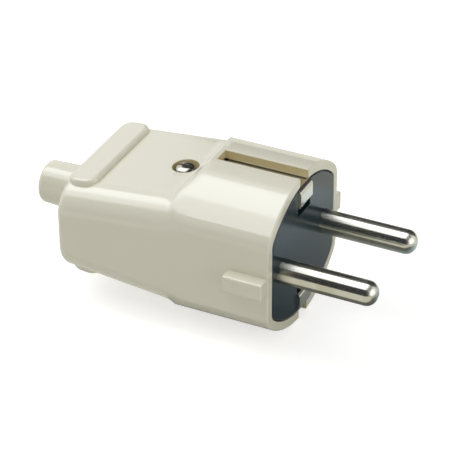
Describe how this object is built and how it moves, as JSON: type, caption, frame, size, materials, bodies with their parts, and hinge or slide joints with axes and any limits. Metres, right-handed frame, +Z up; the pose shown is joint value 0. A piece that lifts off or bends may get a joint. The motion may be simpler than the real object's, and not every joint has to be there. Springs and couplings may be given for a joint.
{
  "type": "type f plug",
  "caption": "Rewireable earthed mains plug: cream sleeve with crowned front and tapering grip, round nickel pins, grounding strips in open slots at top and bottom, cable nozzle at the rear.",
  "frame": {"origin": "middle of the engagement face, half way between the pin axes", "axes": "+X along the pins away from the body, +Y towards the left pin, +Z up towards the housing screw"},
  "size_m": [0.0742, 0.0366, 0.031],
  "materials": {
    "cream_plastic": "smooth moulded cream thermoplastic with a soft gloss",
    "grey_plastic": "dark blue-grey moulded plastic with a satin gloss",
    "nickel_pin": "polished nickel plate on brass",
    "plated_strip": "bright nickel-plated strip",
    "zinc_steel": "bright zinc-plated steel",
    "leaf_brass": "plain brass leaf",
    "board": "brown laminated insulating board"
  },
  "bodies": {
    "root": {"housing": "cream_plastic", "contact_carrier": "grey_plastic", "left_pin": "nickel_pin", "right_pin": "nickel_pin", "earth_bracket": "plated_strip", "housing_screw": "zinc_steel", "housing_screw_nut": "zinc_steel", "pin_retaining_plate": "board", "left_terminal_screw": "zinc_steel", "right_terminal_screw": "zinc_steel", "left_wire_leaf": "leaf_brass", "right_wire_leaf": "leaf_brass", "earth_terminal_screw": "zinc_steel", "earth_clamp_washer": "zinc_steel", "earth_terminal_nut": "zinc_steel", "cord_clamp_bar": "cream_plastic", "left_cord_clamp_screw": "zinc_steel", "right_cord_clamp_screw": "zinc_steel", "left_cord_clamp_nut": "zinc_steel", "right_cord_clamp_nut": "zinc_steel"}
  },
  "joints": []
}
